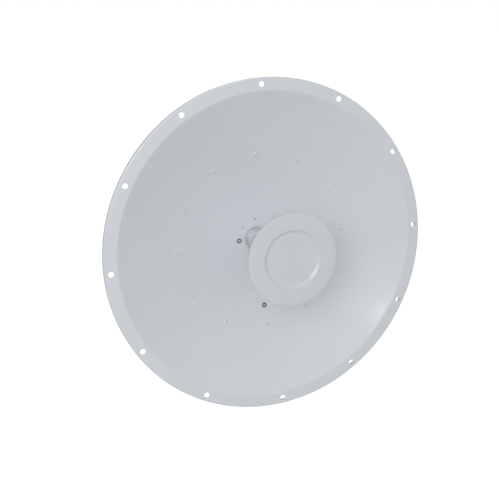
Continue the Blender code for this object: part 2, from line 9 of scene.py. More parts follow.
import bmesh
import bpy
from mathutils import Matrix, Vector


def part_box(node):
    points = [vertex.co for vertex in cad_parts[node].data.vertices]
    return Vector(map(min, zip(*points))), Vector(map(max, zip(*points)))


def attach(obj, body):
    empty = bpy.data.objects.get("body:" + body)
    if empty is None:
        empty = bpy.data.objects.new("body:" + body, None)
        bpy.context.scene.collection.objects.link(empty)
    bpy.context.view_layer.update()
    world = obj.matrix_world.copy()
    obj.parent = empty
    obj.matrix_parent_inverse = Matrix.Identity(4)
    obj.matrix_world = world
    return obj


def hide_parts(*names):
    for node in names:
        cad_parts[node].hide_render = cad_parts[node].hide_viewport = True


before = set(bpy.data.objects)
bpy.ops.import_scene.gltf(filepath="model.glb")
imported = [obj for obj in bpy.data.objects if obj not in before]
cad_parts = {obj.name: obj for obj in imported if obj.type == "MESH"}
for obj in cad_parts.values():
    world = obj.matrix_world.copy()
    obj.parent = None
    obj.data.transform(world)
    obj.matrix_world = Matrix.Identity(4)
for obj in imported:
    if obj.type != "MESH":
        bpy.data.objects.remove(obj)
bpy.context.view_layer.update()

# Where the dish and its bracket sit in the frame
FLANGE_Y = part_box("reflector")[0].y
ALONG_X = Matrix.Rotation(math.pi / 2, 4, "Y")
ALONG_Y = Matrix.Rotation(math.pi / 2, 4, "X")
DISH_FRAME = Matrix.Translation((0, FLANGE_Y, 0)) @ ALONG_Y
WORLD = Matrix.Identity(4)
# Its X runs along world Y and its Y runs up, for outlines seen from the side
SIDE_FRAME = Matrix(((0, 0, 1, 0), (1, 0, 0, 0), (0, 1, 0, 0), (0, 0, 0, 1)))

# The photograph's camera: place, turns in degrees and focal length in pixels of its 500 pixel frame
CAMERA_PLACE = (-0.5289, -1.5926, 0.4035)
CAMERA_AZIMUTH = 20.557
CAMERA_PITCH = -12.639
CAMERA_ROLL = -3.940
FOCAL_PIXELS = 798.4
LENS_SHIFT = (-0.0322, -0.0754)
FRAME_PIXELS = 500
SENSOR_MM = 36.0

# Studio
FLOOR_Z = -1.2
FLOOR_SIZE = 60.0
FLOOR_SHADE = 0.7
FLOOR_ROUGHNESS = 0.9
FLOOR_GLOW = 0.75
SKY_WAY = (-20, 12)
SKY_LOW = 0.425
SKY_HIGH = 0.81

# Soft boxes: name, azimuth and elevation in degrees, distance, width and power. A wide one is up to
# the left, a small one makes the highlights, and one lights the back.
LIGHTS = (
    ("wide_box", (-30, 20), 2.0, 1.0, 9.0),
    ("small_box", (-19.7, 14.2), 2.88, 0.2, 3.5),
    ("back_box", (150, 35), 2.0, 1.5, 10.0),
)

# The noise values between which colour and roughness drift, and the detail of that noise
RAMP_ENDS = (0.35, 0.65)
NOISE_SPAN = (0.3, 0.7)
DRIFT_DETAIL = 3.0

# Finishes: name, colour, roughness and metalness, then what varies: two shades and their scale, the
# least and most roughness and their scale, and the scale, depth and strength of the bumps in the skin,
# with their detail and stretch where these aren't the usual ones
FINISHES = (
    # Smooth semi-gloss powder coat, with its faint orange peel
    ("dish_paint", (0.74, 0.775, 0.82), 0.2, 0.0,
     ((0.735, 0.770, 0.815), (0.745, 0.780, 0.825), 9.0), (0.17, 0.22, 30.0), (420.0, 0.00002, 0.12)),
    # A satin powder coat with a coarser skin
    ("bracket_paint", (0.58, 0.60, 0.63), 0.42, 0.0,
     ((0.565, 0.585, 0.615), (0.595, 0.615, 0.645), 25.0), (0.38, 0.48, 60.0), (700.0, 0.00004, 0.25)),
    # Weatherproof moulded plastic with a fine skin
    ("feed_plastic", (0.70, 0.73, 0.76), 0.22, 0.0,
     ((0.692, 0.722, 0.752), (0.708, 0.738, 0.768), 14.0), (0.2, 0.26, 45.0), (1500.0, 0.00001, 0.15)),
    # Moulded plastic with a spark-eroded grain
    ("grey_plastic", (0.36, 0.37, 0.38), 0.5, 0.0, None, (0.45, 0.58, 200.0), (2500.0, 0.00004, 0.4)),
    # The rubber of the screws' sealing washers
    ("dark_rubber", (0.05, 0.05, 0.055), 0.55, 0.0, None, None, (3000.0, 0.00003, 0.4)),
    # Mill-finish sheet, with its rolling marks along one way
    ("aluminium_sheet", (0.76, 0.77, 0.79), 0.3, 1.0, None, (0.26, 0.4, 120.0),
     (250.0, 0.00002, 0.3, 4.0, (1, 30, 1))),
    ("stainless_steel", (0.56, 0.57, 0.58), 0.22, 1.0, None, (0.18, 0.3, 800.0), None),
    # Dull zinc plate, clouded and very lightly pitted
    ("zinc_steel", (0.55, 0.56, 0.57), 0.36, 1.0,
     ((0.50, 0.51, 0.52), (0.60, 0.61, 0.62), 160.0), (0.3, 0.46, 220.0), (1800.0, 0.00003, 0.2)),
    ("gilt_brass", (0.78, 0.60, 0.28), 0.25, 1.0,
     ((0.72, 0.54, 0.24), (0.82, 0.64, 0.32), 300.0), (0.2, 0.34, 500.0), None),
)

# Reflector
DISH_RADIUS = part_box("reflector")[1].x
HOLE_CIRCLE_RADIUS = 0.3125
RIM_HOLE_COUNT = 12
RIM_HOLE_RADIUS = 0.00525
LIP_RADIUS = 0.300
FOCAL_LENGTH = 0.252
SHEET = 0.0015
LIP_BEND = 0.006
RIM_BEND = 0.003
SKIRT_DEPTH = 0.0125
HEM_BEND = 0.0022
HEM_WIDTH = 0.0048
HOLE_BAND = (0.3043, 0.3207)
DOT_RADIUS = 0.0017
DOT_PLACE = 0.0397

# Fasteners of the bowl
RIVET_COUNT = 12
RIVET_CIRCLE_RADIUS = 0.175
RIVET_RADIUS = 0.0042
RIVET_RISE = 0.0021
RIVET_PIT_RADIUS = 0.0012
RIVET_PIT_DEPTH = 0.0018
RIVET_SHANK_SHARE = 0.5
# Shares of the rivet's radius, and depths behind the back plate
RIVET_TAIL = ((0.72, 0.0001), (0.78, 0.0007), (0.6, 0.0014), (0.25, 0.0018), (0, 0.0019))
SCREW_HEAD_RADIUS = 0.005
SCREW_HEAD_HEIGHT = 0.003
SCREW_DOME_SHARES = (0.68, 0.62)
SCREW_SEAT_SHARE = 0.38
SCREW_UNDERSIDE = 0.0004
SCREW_CORE_RADIUS = 0.0015
SCREW_TIP = 0.003
SCREW_TAIL = 0.005
WASHER_BORE_SHARE = 0.45
WASHER_TOP_SHARE = 0.92
WASHER_HEIGHT = 0.0011
HUB_SCREW_RADIUS = 0.0375
LOWER_SCREW_RADIUS = 0.1375
SPOT_WELD_COUNT = 6
SPOT_WELD_CIRCLE = 0.046
SPOT_WELD_RADIUS = 0.003
SPOT_WELD_RISE = 0.0003
HUB_RIVET_PLACE = (0.0388, 315)

# Feed
TUBE_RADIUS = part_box("feed_tube")[1].x
TUBE_WALL = 0.0025
DISC_FRONT = 0.0995
DISC_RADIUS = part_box("feed_disc_cover")[1].x
DISC_DEPTH = 0.0065
DISC_SKIN = 0.0015
DISC_EDGE_RADIUS = 0.0006
DISC_TAPER = 0.0014
DISC_EDGE_DEPTH = 0.0012
RECESS_RADIUS = 0.055
RECESS_DEPTH = 0.0036
RECESS_CREASE = 0.0006
RECESS_SLOPE = 0.005
PLATE_RADIUS = 0.0845
PLATE_THICKNESS = 0.0015
NECK_LENGTH = 0.025
NECK_TOP_RADIUS = 0.045
NECK_FOOT_RADIUS = 0.0275
NECK_RIM = 0.003
NECK_COLLAR = 0.006
NECK_FLARE = 0.008
NECK_FOOT_ROUND = 0.0008
MOULD_EDGE = 0.0005
MOULD_ROUND = 0.001
MOULD_FILLET = 0.0015
LATCH_CLOCK = 302.0
LATCH_HEIGHT = 0.042
LATCH_WINDOW = 0.0108
LATCH_SIDE = 0.0088
LATCH_GROOVE = 0.0012
REAR_CAP_RADIUS = 0.030
REAR_CAP_THICKNESS = 0.004
REAR_CAP_SPIGOT = 0.009
CONNECTOR_X = 0.011
CONNECTOR_LENGTH = 0.0105

# Back plate and hub ring
BACK_PLATE_THICKNESS = 0.002
BACK_PLATE_DEPTH = 0.112
BACK_PLATE_FLAT_RADIUS = 0.075
BACK_PLATE_FOOT_RADIUS = 0.127
BACK_PLATE_RADIUS = 0.187
BACK_PLATE_BEND = 0.010
HUB_RING_RADIUS = 0.052
HUB_RING_THICKNESS = 0.003

# Bracket
BRACKET_SHEET = 0.003
BRACKET_BEND = 0.006
DISH_BRACKET_HALF_WIDTH = 0.050
DISH_BRACKET_HALF_HEIGHT = 0.062
DISH_BRACKET_DEPTH = 0.067
MAST_BRACKET_HALF_HEIGHT = 0.056
MAST_BRACKET_DEPTH = 0.068
DISH_EAR_SHOULDER = 0.022
DISH_EAR_DROP = 0.008
MAST_EAR_SHOULDER = 0.015
MAST_EAR_DROP = 0.006
SHOULDER_ROUND = 0.012
EAR_ROUND = 0.014
WEB_BACK_Y = -0.088
PIVOT_Y = -0.052
PIVOT_Z = -0.038
TILT_BOLT_Z = 0.038
TILT_SWING = 15.0
BRACKET_BOLT_X = 0.032
BRACKET_BOLT_Z = 0.047
MAST_RADIUS = 0.025
MAST_CLEARANCE = 0.001
U_BOLT_ROD_RADIUS = 0.004
U_BOLT_Z = 0.036
U_BOLT_TAIL = 0.013
U_BOLT_THREAD_END = 0.014

# Nuts and bolts
BRACKET_BOLT_RADIUS = 0.004
BRACKET_NUT_FLATS = 0.013
BRACKET_NUT_HEIGHT = 0.0065
BRACKET_BOLT_PITCH = 0.00125
BRACKET_HEAD_HEIGHT = 0.004
BRACKET_HEAD_TOP_RADIUS = 0.006
BRACKET_HEAD_FLARE = 0.002
BRACKET_HEAD_EDGE = 0.0015
BRACKET_HEAD_RINGS = (0, 0.0005, BRACKET_HEAD_EDGE, 0.0038, 0.00401)
BRACKET_THREAD_START = 0.0045
TILT_BOLT_RADIUS = 0.005
TILT_FLATS = 0.016
TILT_NUT_HEIGHT = 0.008
TILT_HEAD_HEIGHT = 0.0065
TILT_BOLT_PITCH = 0.0015
TILT_THREAD_LENGTH = 0.030
TILT_SHANK_ROOT = 0.002
TILT_RUNOUT = 0.0001
TILT_CHAMFER = 0.001
TILT_FACE_SHARE = 0.47
TILT_FACE_HEIGHT = 0.0008
TILT_FACE_GAP_SHARE = 0.8
BOLT_TAIL = 0.003
BOLT_CHAMFER = 0.0009
HEX_FACE_SHARE = 0.475
HEX_MARGIN = 0.002
HEX_SLOPE = math.tan(math.radians(30))
NUT_FLANGE_HEIGHT = 0.0016
NUT_FLANGE_SPREAD = 1.14
NUT_FLANGE_EDGE_SHARE = 0.55
NUT_FLANGE_TOP = (0.9, 1.3)
THREAD_DEPTH_SHARE = 0.58
RINGS_A_PITCH = 8

# Gap between touching pieces, edge breaks, merge distances, cutters, and how finely rounds are drawn
GAP = 0.0003
EDGE_BREAK = 0.0003
PLATE_EDGE_BREAK = 0.0005
SMOOTH_ANGLE = math.radians(32)
BEVEL_ANGLE = math.radians(40)
WELD_DISTANCE = 0.000002
MERGE_DISTANCE = 0.00002
CUT_DEPTH = 0.2
WEB_CUT_SHARE = 0.1
CUT_MARGIN = 0.01
BOWL_STEPS = 288
BOWL_STATIONS = 40
FOOT_STATIONS = 12
RING_STATIONS = 8
PLATE_STEPS = 192
TUBE_STEPS = 96
HOLE_STEPS = 48
NUT_STEPS = 64
SMALL_STEPS = 32
U_BEND_STEPS = 48
SLOT_STEPS = 24
SLOT_END_STEPS = 16
EAR_STEPS = 12
BEND_STEPS = 8
WASHER_STEPS = 4
FINE_STEPS = 3
EDGE_STEPS = 2
RIVET_DOME_STEPS = 16
SCREW_DOME_STEPS = 8
WELD_DOME_STEPS = 4

# Derived places
VERTEX_DEPTH = LIP_RADIUS**2 / (4 * FOCAL_LENGTH)
WEB_BACK_DEPTH = BACK_PLATE_DEPTH + BACK_PLATE_THICKNESS + GAP + BRACKET_SHEET
TUBE_BORE = TUBE_RADIUS - TUBE_WALL
HUB_HOLE_RADIUS = TUBE_RADIUS + GAP
SCREW_HOLE_RADIUS = SCREW_CORE_RADIUS + GAP
BOWL_HOLE_RADIUS = TUBE_RADIUS + GAP / 6
PLATE_FRONT = DISC_FRONT - DISC_DEPTH - GAP
TUBE_TOP = PLATE_FRONT - PLATE_THICKNESS - GAP
MAST_BRACKET_HALF_WIDTH = DISH_BRACKET_HALF_WIDTH - BRACKET_SHEET - GAP
U_BOLT_X = MAST_RADIUS + MAST_CLEARANCE + U_BOLT_ROD_RADIUS
TILT_RADIUS = TILT_BOLT_Z - PIVOT_Z


def rotation(degrees, axis="Z"):
    return Matrix.Rotation(math.radians(degrees), 4, axis)


# Outlines

def filleted(corners, steps=BEND_STEPS):
    """Points along a path whose corners are (x, y) or (x, y, radius)."""
    points = []
    for index, corner in enumerate(corners):
        here = Vector(corner[:2])
        radius = corner[2] if len(corner) > 2 else 0.0
        if not radius:
            points.append(here)
            continue
        before = (Vector(corners[index - 1][:2]) - here).normalized()
        after = (Vector(corners[(index + 1) % len(corners)][:2]) - here).normalized()
        half = before.angle(after) / 2
        centre = here + (before + after).normalized() * radius / math.sin(half)
        start = here + before * radius / math.tan(half) - centre
        end = here + after * radius / math.tan(half) - centre
        turn = start.angle_signed(end)
        for step in range(steps + 1):
            angle = -turn * step / steps
            points.append(centre + Matrix.Rotation(angle, 2) @ start)
    return points


def spread(start, end, count):
    """Evenly spaced values from start to end."""
    return [start + (end - start) * index / count for index in range(count + 1)]


def thread_rings(start, end, pitch):
    """Evenly spaced values from start to end, several to each turn of a thread."""
    step = pitch / RINGS_A_PITCH
    return spread(start, end, max(1, round(abs(end - start) / step)))


def arc_points(centre, radius, start, end, steps):
    """Points on an arc, angles in radians from the first axis."""
    x, y = centre
    return [Vector((x + radius * math.cos(a), y + radius * math.sin(a))) for a in spread(start, end, steps)]


def sheet_outline(front, thickness):
    """The closed outline of a bent sheet, from the line of its front, with its edges broken."""
    back = []
    for index, point in enumerate(front):
        before = front[max(index - 1, 0)]
        after = front[min(index + 1, len(front) - 1)]
        ways = [(b - a).normalized() for a, b in ((before, point), (point, after)) if (b - a).length > 0]
        normals = [Vector((way.y, -way.x)) for way in ways]
        middle = sum(normals, Vector((0, 0))).normalized()
        back.append(point + middle * thickness / middle.dot(normals[0]))
    ends = filleted([
        (*front[0], EDGE_BREAK),
        tuple(front[1]),
        tuple(front[-2]),
        (*front[-1], EDGE_BREAK),
        (*back[-1], EDGE_BREAK),
        tuple(back[-2]),
        tuple(back[1]),
        (*back[0], EDGE_BREAK),
    ], EDGE_STEPS)
    first, start, last = ends[:3], ends[-3:], ends[5:11]
    return first + front[1:-1] + last + back[-2:0:-1] + start


# The bowl's surface

def bowl_height(radius):
    """Height of the bowl's front over the flange plane, so it is negative inside."""
    return radius**2 / (4 * FOCAL_LENGTH) - VERTEX_DEPTH


def bowl_slope(radius):
    return math.atan(radius / (2 * FOCAL_LENGTH))


def behind_bowl(radius, offset):
    """The profile point that lies offset behind the bowl's front at this radius."""
    slope = bowl_slope(radius)
    return Vector((radius + offset * math.sin(slope), bowl_height(radius) - offset * math.cos(slope)))


def bowl_frame(radius, clock):
    """A frame on the bowl's front, its Z the normal. The clock is in degrees from the top, to the right."""
    place = Matrix.Translation((0, radius, bowl_height(radius)))
    lean = Matrix.Rotation(bowl_slope(radius), 4, "X")
    return rotation(-clock) @ place @ lean


# Making pieces

def add_piece(name, data, matrix=DISH_FRAME):
    """An object in the scene, made of this mesh, curve, camera or light."""
    made = bpy.data.objects.new(name, data)
    bpy.context.scene.collection.objects.link(made)
    made.matrix_world = matrix
    return made


def mesh_from(name, make):
    """A mesh filled by a function that works on a bmesh."""
    work = bmesh.new()
    make(work)
    mesh = bpy.data.meshes.new(name)
    work.to_mesh(mesh)
    work.free()
    return mesh


def smooth(mesh):
    """Shades a mesh smooth but for its sharp edges."""
    mesh.shade_smooth()
    mesh.set_sharp_from_angle(angle=SMOOTH_ANGLE)
    return mesh


def settle(piece):
    """Applies the modifiers, and leaves one clean, smooth mesh with its faces outward."""
    bpy.context.view_layer.update()
    graph = bpy.context.evaluated_depsgraph_get()
    mesh = bpy.data.meshes.new_from_object(piece.evaluated_get(graph))
    piece.modifiers.clear()
    work = bmesh.new()
    work.from_mesh(mesh)
    bmesh.ops.remove_doubles(work, verts=work.verts, dist=WELD_DISTANCE)
    bmesh.ops.recalc_face_normals(work, faces=work.faces)
    if work.calc_volume(signed=True) < 0:
        bmesh.ops.reverse_faces(work, faces=work.faces)
    work.to_mesh(mesh)
    work.free()
    mesh.name = piece.name
    smooth(mesh)
    if piece.type != "MESH":
        name, matrix = piece.name, piece.matrix_world.copy()
        bpy.data.objects.remove(piece, do_unlink=True)
        return add_piece(name, mesh, matrix)
    piece.data = mesh
    return piece


def turned(name, points, steps=SMALL_STEPS, closed=False, matrix=DISH_FRAME):
    """A solid of revolution about local Z, from a profile in the XZ plane."""
    def make(work):
        verts = [work.verts.new((p[0], 0, p[1])) for p in points]
        for first, second in zip(verts, verts[1:]):
            work.edges.new((first, second))
        if closed:
            work.edges.new((verts[-1], verts[0]))
    piece = add_piece(name, mesh_from(name, make), matrix)
    screw = piece.modifiers.new("Turn", "SCREW")
    screw.steps = steps
    screw.render_steps = steps
    screw.use_merge_vertices = True
    screw.merge_threshold = MERGE_DISTANCE
    return settle(piece)


def copied(name, source, frames, matrix=DISH_FRAME):
    """One piece made of copies of a mesh, one at each frame."""
    def make(work):
        for place in frames:
            mesh = source.copy()
            mesh.transform(place)
            work.from_mesh(mesh)
            bpy.data.meshes.remove(mesh)
    return add_piece(name, smooth(mesh_from(name, make)), matrix)


def mesh_of(piece):
    """The piece's mesh, with the piece itself removed."""
    mesh = piece.data
    bpy.data.objects.remove(piece, do_unlink=True)
    return mesh


def combine(piece, other, operation):
    """A Boolean that uses up the other object."""
    boolean = piece.modifiers.new(other.name, "BOOLEAN")
    boolean.operation = operation
    boolean.solver = "EXACT"
    boolean.object = other
    done = settle(piece)
    bpy.data.objects.remove(other, do_unlink=True)
    return done


def hole_mesh(radius, top, bottom, steps):
    """A cutter for a round hole between two heights, which breaks both of its edges."""
    reach = 0.004
    break_top = radius + EDGE_BREAK
    profile = [
        (0, top + reach),
        (break_top + reach, top + reach),
        (break_top, top),
        (radius, top - EDGE_BREAK),
        (radius, bottom + EDGE_BREAK),
        (break_top, bottom),
        (break_top + reach, bottom - reach),
        (0, bottom - reach),
    ]
    return mesh_of(turned("hole", profile, steps, matrix=WORLD))


def cut_holes(piece, frames, radius, top, bottom, steps=SMALL_STEPS, matrix=DISH_FRAME):
    """Round holes along the Z of each frame, through a sheet between two heights."""
    cutter = copied("holes", hole_mesh(radius, top, bottom, steps), frames, matrix)
    return combine(piece, cutter, "DIFFERENCE")


def prism(name, points, thickness, matrix):
    """A flat outline in the frame's XY plane, made thick both ways along its Z."""
    curve = bpy.data.curves.new(name, "CURVE")
    curve.dimensions = "2D"
    curve.fill_mode = "BOTH"
    curve.extrude = thickness / 2
    spline = curve.splines.new("POLY")
    spline.points.add(len(points) - 1)
    for point, place in zip(spline.points, points):
        point.co = (place[0], place[1], 0, 1)
    spline.use_cyclic_u = True
    return settle(add_piece(name, curve, matrix))


def break_edges(piece, width):
    """Rounds the sharp edges of a sheet-metal piece."""
    bevel = piece.modifiers.new("Edges", "BEVEL")
    bevel.width = width
    bevel.segments = EDGE_STEPS
    bevel.limit_method = "ANGLE"
    bevel.angle_limit = BEVEL_ANGLE
    bevel.use_clamp_overlap = False
    return settle(piece)


def dress(piece, material, slot, *nodes):
    """Gives a piece its finish, hangs it on the root body, and hides the CAD parts that it stands for."""
    piece.data.materials.clear()
    piece.data.materials.append(material)
    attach(piece, "root")
    if nodes:
        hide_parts(*nodes)


# Materials

def new_material(name, colour, roughness, metallic=0.0):
    made = bpy.data.materials.new(name)
    made.use_nodes = True
    shader = made.node_tree.nodes["Principled BSDF"]
    shader.inputs["Base Color"].default_value = (*colour, 1.0)
    shader.inputs["Roughness"].default_value = roughness
    shader.inputs["Metallic"].default_value = metallic
    return made


def noise(nodes, links, scale, detail, stretch=(1, 1, 1)):
    """Noise in the piece's own coordinates, so it stays on the surface."""
    place = nodes.new("ShaderNodeTexCoord")
    mapping = nodes.new("ShaderNodeMapping")
    mapping.inputs["Scale"].default_value = stretch
    texture = nodes.new("ShaderNodeTexNoise")
    texture.inputs["Scale"].default_value = scale
    texture.inputs["Detail"].default_value = detail
    links.new(place.outputs["Object"], mapping.inputs["Vector"])
    links.new(mapping.outputs["Vector"], texture.inputs["Vector"])
    return texture.outputs["Fac"]


def vary_colour(nodes, links, first, second, scale):
    """Drifts the colour between two close shades."""
    ramp = nodes.new("ShaderNodeValToRGB")
    for stop, position, shade in zip(ramp.color_ramp.elements, RAMP_ENDS, (first, second)):
        stop.position = position
        stop.color = (*shade, 1.0)
    links.new(noise(nodes, links, scale, DRIFT_DETAIL), ramp.inputs["Fac"])
    links.new(ramp.outputs["Color"], nodes["Principled BSDF"].inputs["Base Color"])


def vary_roughness(nodes, links, low, high, scale):
    span = nodes.new("ShaderNodeMapRange")
    ends = ("From Min", "From Max", "To Min", "To Max")
    for end, value in zip(ends, (*NOISE_SPAN, low, high)):
        span.inputs[end].default_value = value
    links.new(noise(nodes, links, scale, DRIFT_DETAIL), span.inputs["Value"])
    links.new(span.outputs["Result"], nodes["Principled BSDF"].inputs["Roughness"])


def add_bump(nodes, links, scale, depth, strength, detail=2.0, stretch=(1, 1, 1)):
    bump = nodes.new("ShaderNodeBump")
    bump.inputs["Strength"].default_value = strength
    bump.inputs["Distance"].default_value = depth
    links.new(noise(nodes, links, scale, detail, stretch), bump.inputs["Height"])
    links.new(bump.outputs["Normal"], nodes["Principled BSDF"].inputs["Normal"])


def finish(name, colour, roughness, metallic, shades, spans, bump):
    """A material that varies as its row of the table says."""
    made = new_material(name, colour, roughness, metallic)
    tree = made.node_tree
    for vary, row in ((vary_colour, shades), (vary_roughness, spans), (add_bump, bump)):
        if row:
            vary(tree.nodes, tree.links, *row)
    return made


# The reflector and what is fixed in it

def rim_profile():
    """Front of the sheet: bowl, bend at the lip, flat flange, rolled rim, skirt and its inward hem."""
    slope = bowl_slope(LIP_RADIUS)
    bowl_end = LIP_RADIUS - LIP_BEND * math.tan(slope / 2) * math.cos(slope)
    radii = spread(BOWL_HOLE_RADIUS, bowl_end, BOWL_STATIONS)[:-1]
    bowl = [Vector((r, bowl_height(r))) for r in radii]
    lip = filleted([bowl[-1], (LIP_RADIUS, 0, LIP_BEND), (DISH_RADIUS, 0)])[1:-1]
    rim = filleted([
        (LIP_RADIUS, 0),
        (DISH_RADIUS, 0, RIM_BEND),
        (DISH_RADIUS, -SKIRT_DEPTH, HEM_BEND),
        (DISH_RADIUS - HEM_WIDTH, -SKIRT_DEPTH),
    ])[1:]
    flange = [Vector((radius, 0)) for radius in HOLE_BAND]
    return bowl + lip + flange + rim


def rim_hole_frames():
    step = 2 * math.pi / RIM_HOLE_COUNT
    turns = [Matrix.Rotation(step * index, 4, "Z") for index in range(RIM_HOLE_COUNT)]
    return [turn @ Matrix.Translation((0, HOLE_CIRCLE_RADIUS, 0)) for turn in turns]


def hub_screw_frames():
    return [bowl_frame(HUB_SCREW_RADIUS, clock) for clock in (270, 90)]


def lower_screw_frame():
    return bowl_frame(LOWER_SCREW_RADIUS, 180)


def make_bowl(paint):
    bowl = turned("bowl", sheet_outline(rim_profile(), SHEET), BOWL_STEPS, closed=True)
    bowl = cut_holes(bowl, rim_hole_frames(), RIM_HOLE_RADIUS, 0, -SHEET, HOLE_STEPS)
    bowl = cut_holes(bowl, [*hub_screw_frames(), lower_screw_frame()], SCREW_HOLE_RADIUS, 0, -SHEET)
    bowl = cut_holes(bowl, [bowl_frame(DOT_PLACE, 0)], DOT_RADIUS, 0, -SHEET)
    dress(bowl, paint, "dish_paint", "reflector")


def dome_points(radius, rise, steps):
    """Half of a domed head, from its top down to its rim on height zero."""
    dome_radius = (radius**2 + rise**2) / (2 * rise)
    top = math.asin(radius / dome_radius)
    return arc_points((0, rise - dome_radius), dome_radius, math.pi / 2, math.pi / 2 - top, steps)


def make_rivets(paint):
    """Twelve painted blind rivets through the bowl and the foot of the back plate."""
    dome = dome_points(RIVET_RADIUS, RIVET_RISE, RIVET_DOME_STEPS)
    dome = [point for point in dome if point.x > RIVET_PIT_RADIUS]
    pit = RIVET_RISE - RIVET_PIT_DEPTH
    head = [(0, pit), (RIVET_PIT_RADIUS, pit), (RIVET_PIT_RADIUS, dome[0].y), *dome]
    behind = SHEET + GAP + BACK_PLATE_THICKNESS
    shank = RIVET_RADIUS * RIVET_SHANK_SHARE
    tail = [(RIVET_RADIUS * share, -behind - depth) for share, depth in RIVET_TAIL]
    profile = [*head, (shank, 0), (shank, -behind), *tail]
    shape = mesh_of(turned("rivet", profile, matrix=WORLD))
    step = 360 / RIVET_COUNT
    places = [bowl_frame(RIVET_CIRCLE_RADIUS, step * index) for index in range(RIVET_COUNT)]
    dress(copied("bowl_rivets", shape, places), paint, "dish_paint")


def make_spot_welds(paint):
    """Six faint marks where the hub ring is welded behind the bowl."""
    mark = [*dome_points(SPOT_WELD_RADIUS, SPOT_WELD_RISE, WELD_DOME_STEPS), (0, -SHEET / 2)]
    shape = mesh_of(turned("mark", mark, matrix=WORLD))
    step = 360 / SPOT_WELD_COUNT
    places = [bowl_frame(SPOT_WELD_CIRCLE, step * (index + 0.5)) for index in range(SPOT_WELD_COUNT)]
    dress(copied("spot_weld_marks", shape, places), paint, "dish_paint")


def make_hub_rivet(paint):
    """A small flat-headed rivet beside the tube, painted over, with a groove round its crown."""
    crown = 0.0018
    groove = 0.0028
    head = 0.0036
    top = 0.0012
    shoulder = 0.0008
    floor = -0.0004
    draft = 0.0001
    profile = filleted([
        (0, top),
        (crown, top, EDGE_BREAK),
        (crown + draft, floor, draft),
        (groove, floor, draft),
        (groove + draft, top - draft, 2 * draft),
        (head, shoulder, EDGE_BREAK),
        (head + draft, -SHEET / 2),
        (0, -SHEET / 2),
    ], FINE_STEPS)
    place = DISH_FRAME @ bowl_frame(*HUB_RIVET_PLACE)
    dress(turned("hub_rivet", profile, matrix=place), paint, "dish_paint")


def screw_profile(length):
    """A domed head with a rolled edge, and a pointed core."""
    wide, high = SCREW_DOME_SHARES
    head = dome_points(SCREW_HEAD_RADIUS * wide, SCREW_HEAD_HEIGHT * high, SCREW_DOME_STEPS)
    seat = SCREW_HEAD_HEIGHT * SCREW_SEAT_SHARE
    raised = [Vector((p.x, p.y + seat)) for p in head]
    core = SCREW_CORE_RADIUS
    under = [(raised[-1].x, SCREW_UNDERSIDE), (core, SCREW_UNDERSIDE)]
    return raised + under + [(core, SCREW_TIP - length), (0, -length)]


def washer_profile():
    """A sealing washer that bulges out under the head."""
    return filleted([
        (SCREW_HEAD_RADIUS * WASHER_BORE_SHARE, 0),
        (SCREW_HEAD_RADIUS, 0, EDGE_BREAK),
        (SCREW_HEAD_RADIUS * WASHER_TOP_SHARE, WASHER_HEIGHT, PLATE_EDGE_BREAK),
        (SCREW_HEAD_RADIUS * WASHER_BORE_SHARE, WASHER_HEIGHT),
    ], WASHER_STEPS)


def make_bowl_screws(steel, rubber):
    lift = Matrix.Translation((0, 0, GAP))
    left, right = hub_screw_frames()
    screws = (
        ("hub_screw_left", left, HUB_RING_THICKNESS),
        ("hub_screw_right", right, HUB_RING_THICKNESS),
        ("lower_screw", lower_screw_frame(), BACK_PLATE_THICKNESS),
    )
    for node, place, thickness in screws:
        length = GAP + SHEET + GAP + thickness + SCREW_TAIL
        matrix = DISH_FRAME @ place @ lift
        screw = turned(f"{node}_head", screw_profile(length), matrix=matrix)
        dress(screw, steel, "screw_steel", node)
        washer = turned(f"{node}_washer", washer_profile(), closed=True, matrix=matrix)
        dress(washer, rubber, "cap_plastic")


# The feed

def latch_block(width, depth, height):
    """A block through one wall of the tube, where the latch sits."""
    size = Matrix.Diagonal((width, depth, height, 1))
    turn = rotation(-LATCH_CLOCK)
    place = Matrix.Translation((0, TUBE_RADIUS, LATCH_HEIGHT - VERTEX_DEPTH))
    mesh = mesh_from("block", lambda work: bmesh.ops.create_cube(work, size=1, matrix=turn @ place @ size))
    return add_piece("block", mesh)


def make_tube(plastic):
    wall = filleted([
        (TUBE_BORE, TUBE_TOP),
        (TUBE_RADIUS, TUBE_TOP),
        (TUBE_RADIUS, -WEB_BACK_DEPTH, EDGE_BREAK),
        (TUBE_BORE, -WEB_BACK_DEPTH, EDGE_BREAK),
    ], EDGE_STEPS)
    tube = turned("tube", wall, TUBE_STEPS, closed=True)
    tube = combine(tube, latch_block(LATCH_WINDOW, 4 * TUBE_WALL, LATCH_WINDOW), "DIFFERENCE")
    dress(tube, plastic, "feed_plastic", "feed_tube")


def make_latch(plastic):
    """The tongue in the tube's wall, with a groove along its middle."""
    middle = LATCH_HEIGHT - VERTEX_DEPTH
    high, low = middle + LATCH_SIDE, middle - LATCH_SIDE
    ring = [(TUBE_BORE, high), (TUBE_RADIUS, high), (TUBE_RADIUS, low), (TUBE_BORE, low)]
    latch = turned("latch_tongue", ring, TUBE_STEPS, closed=True)
    latch = combine(latch, latch_block(LATCH_SIDE, 4 * TUBE_WALL, LATCH_SIDE), "INTERSECT")
    groove = latch_block(LATCH_GROOVE, 2 * LATCH_GROOVE, 2 * LATCH_SIDE)
    latch = combine(latch, groove, "DIFFERENCE")
    latch = break_edges(latch, EDGE_BREAK)
    dress(latch, plastic, "feed_plastic", "feed_latch")


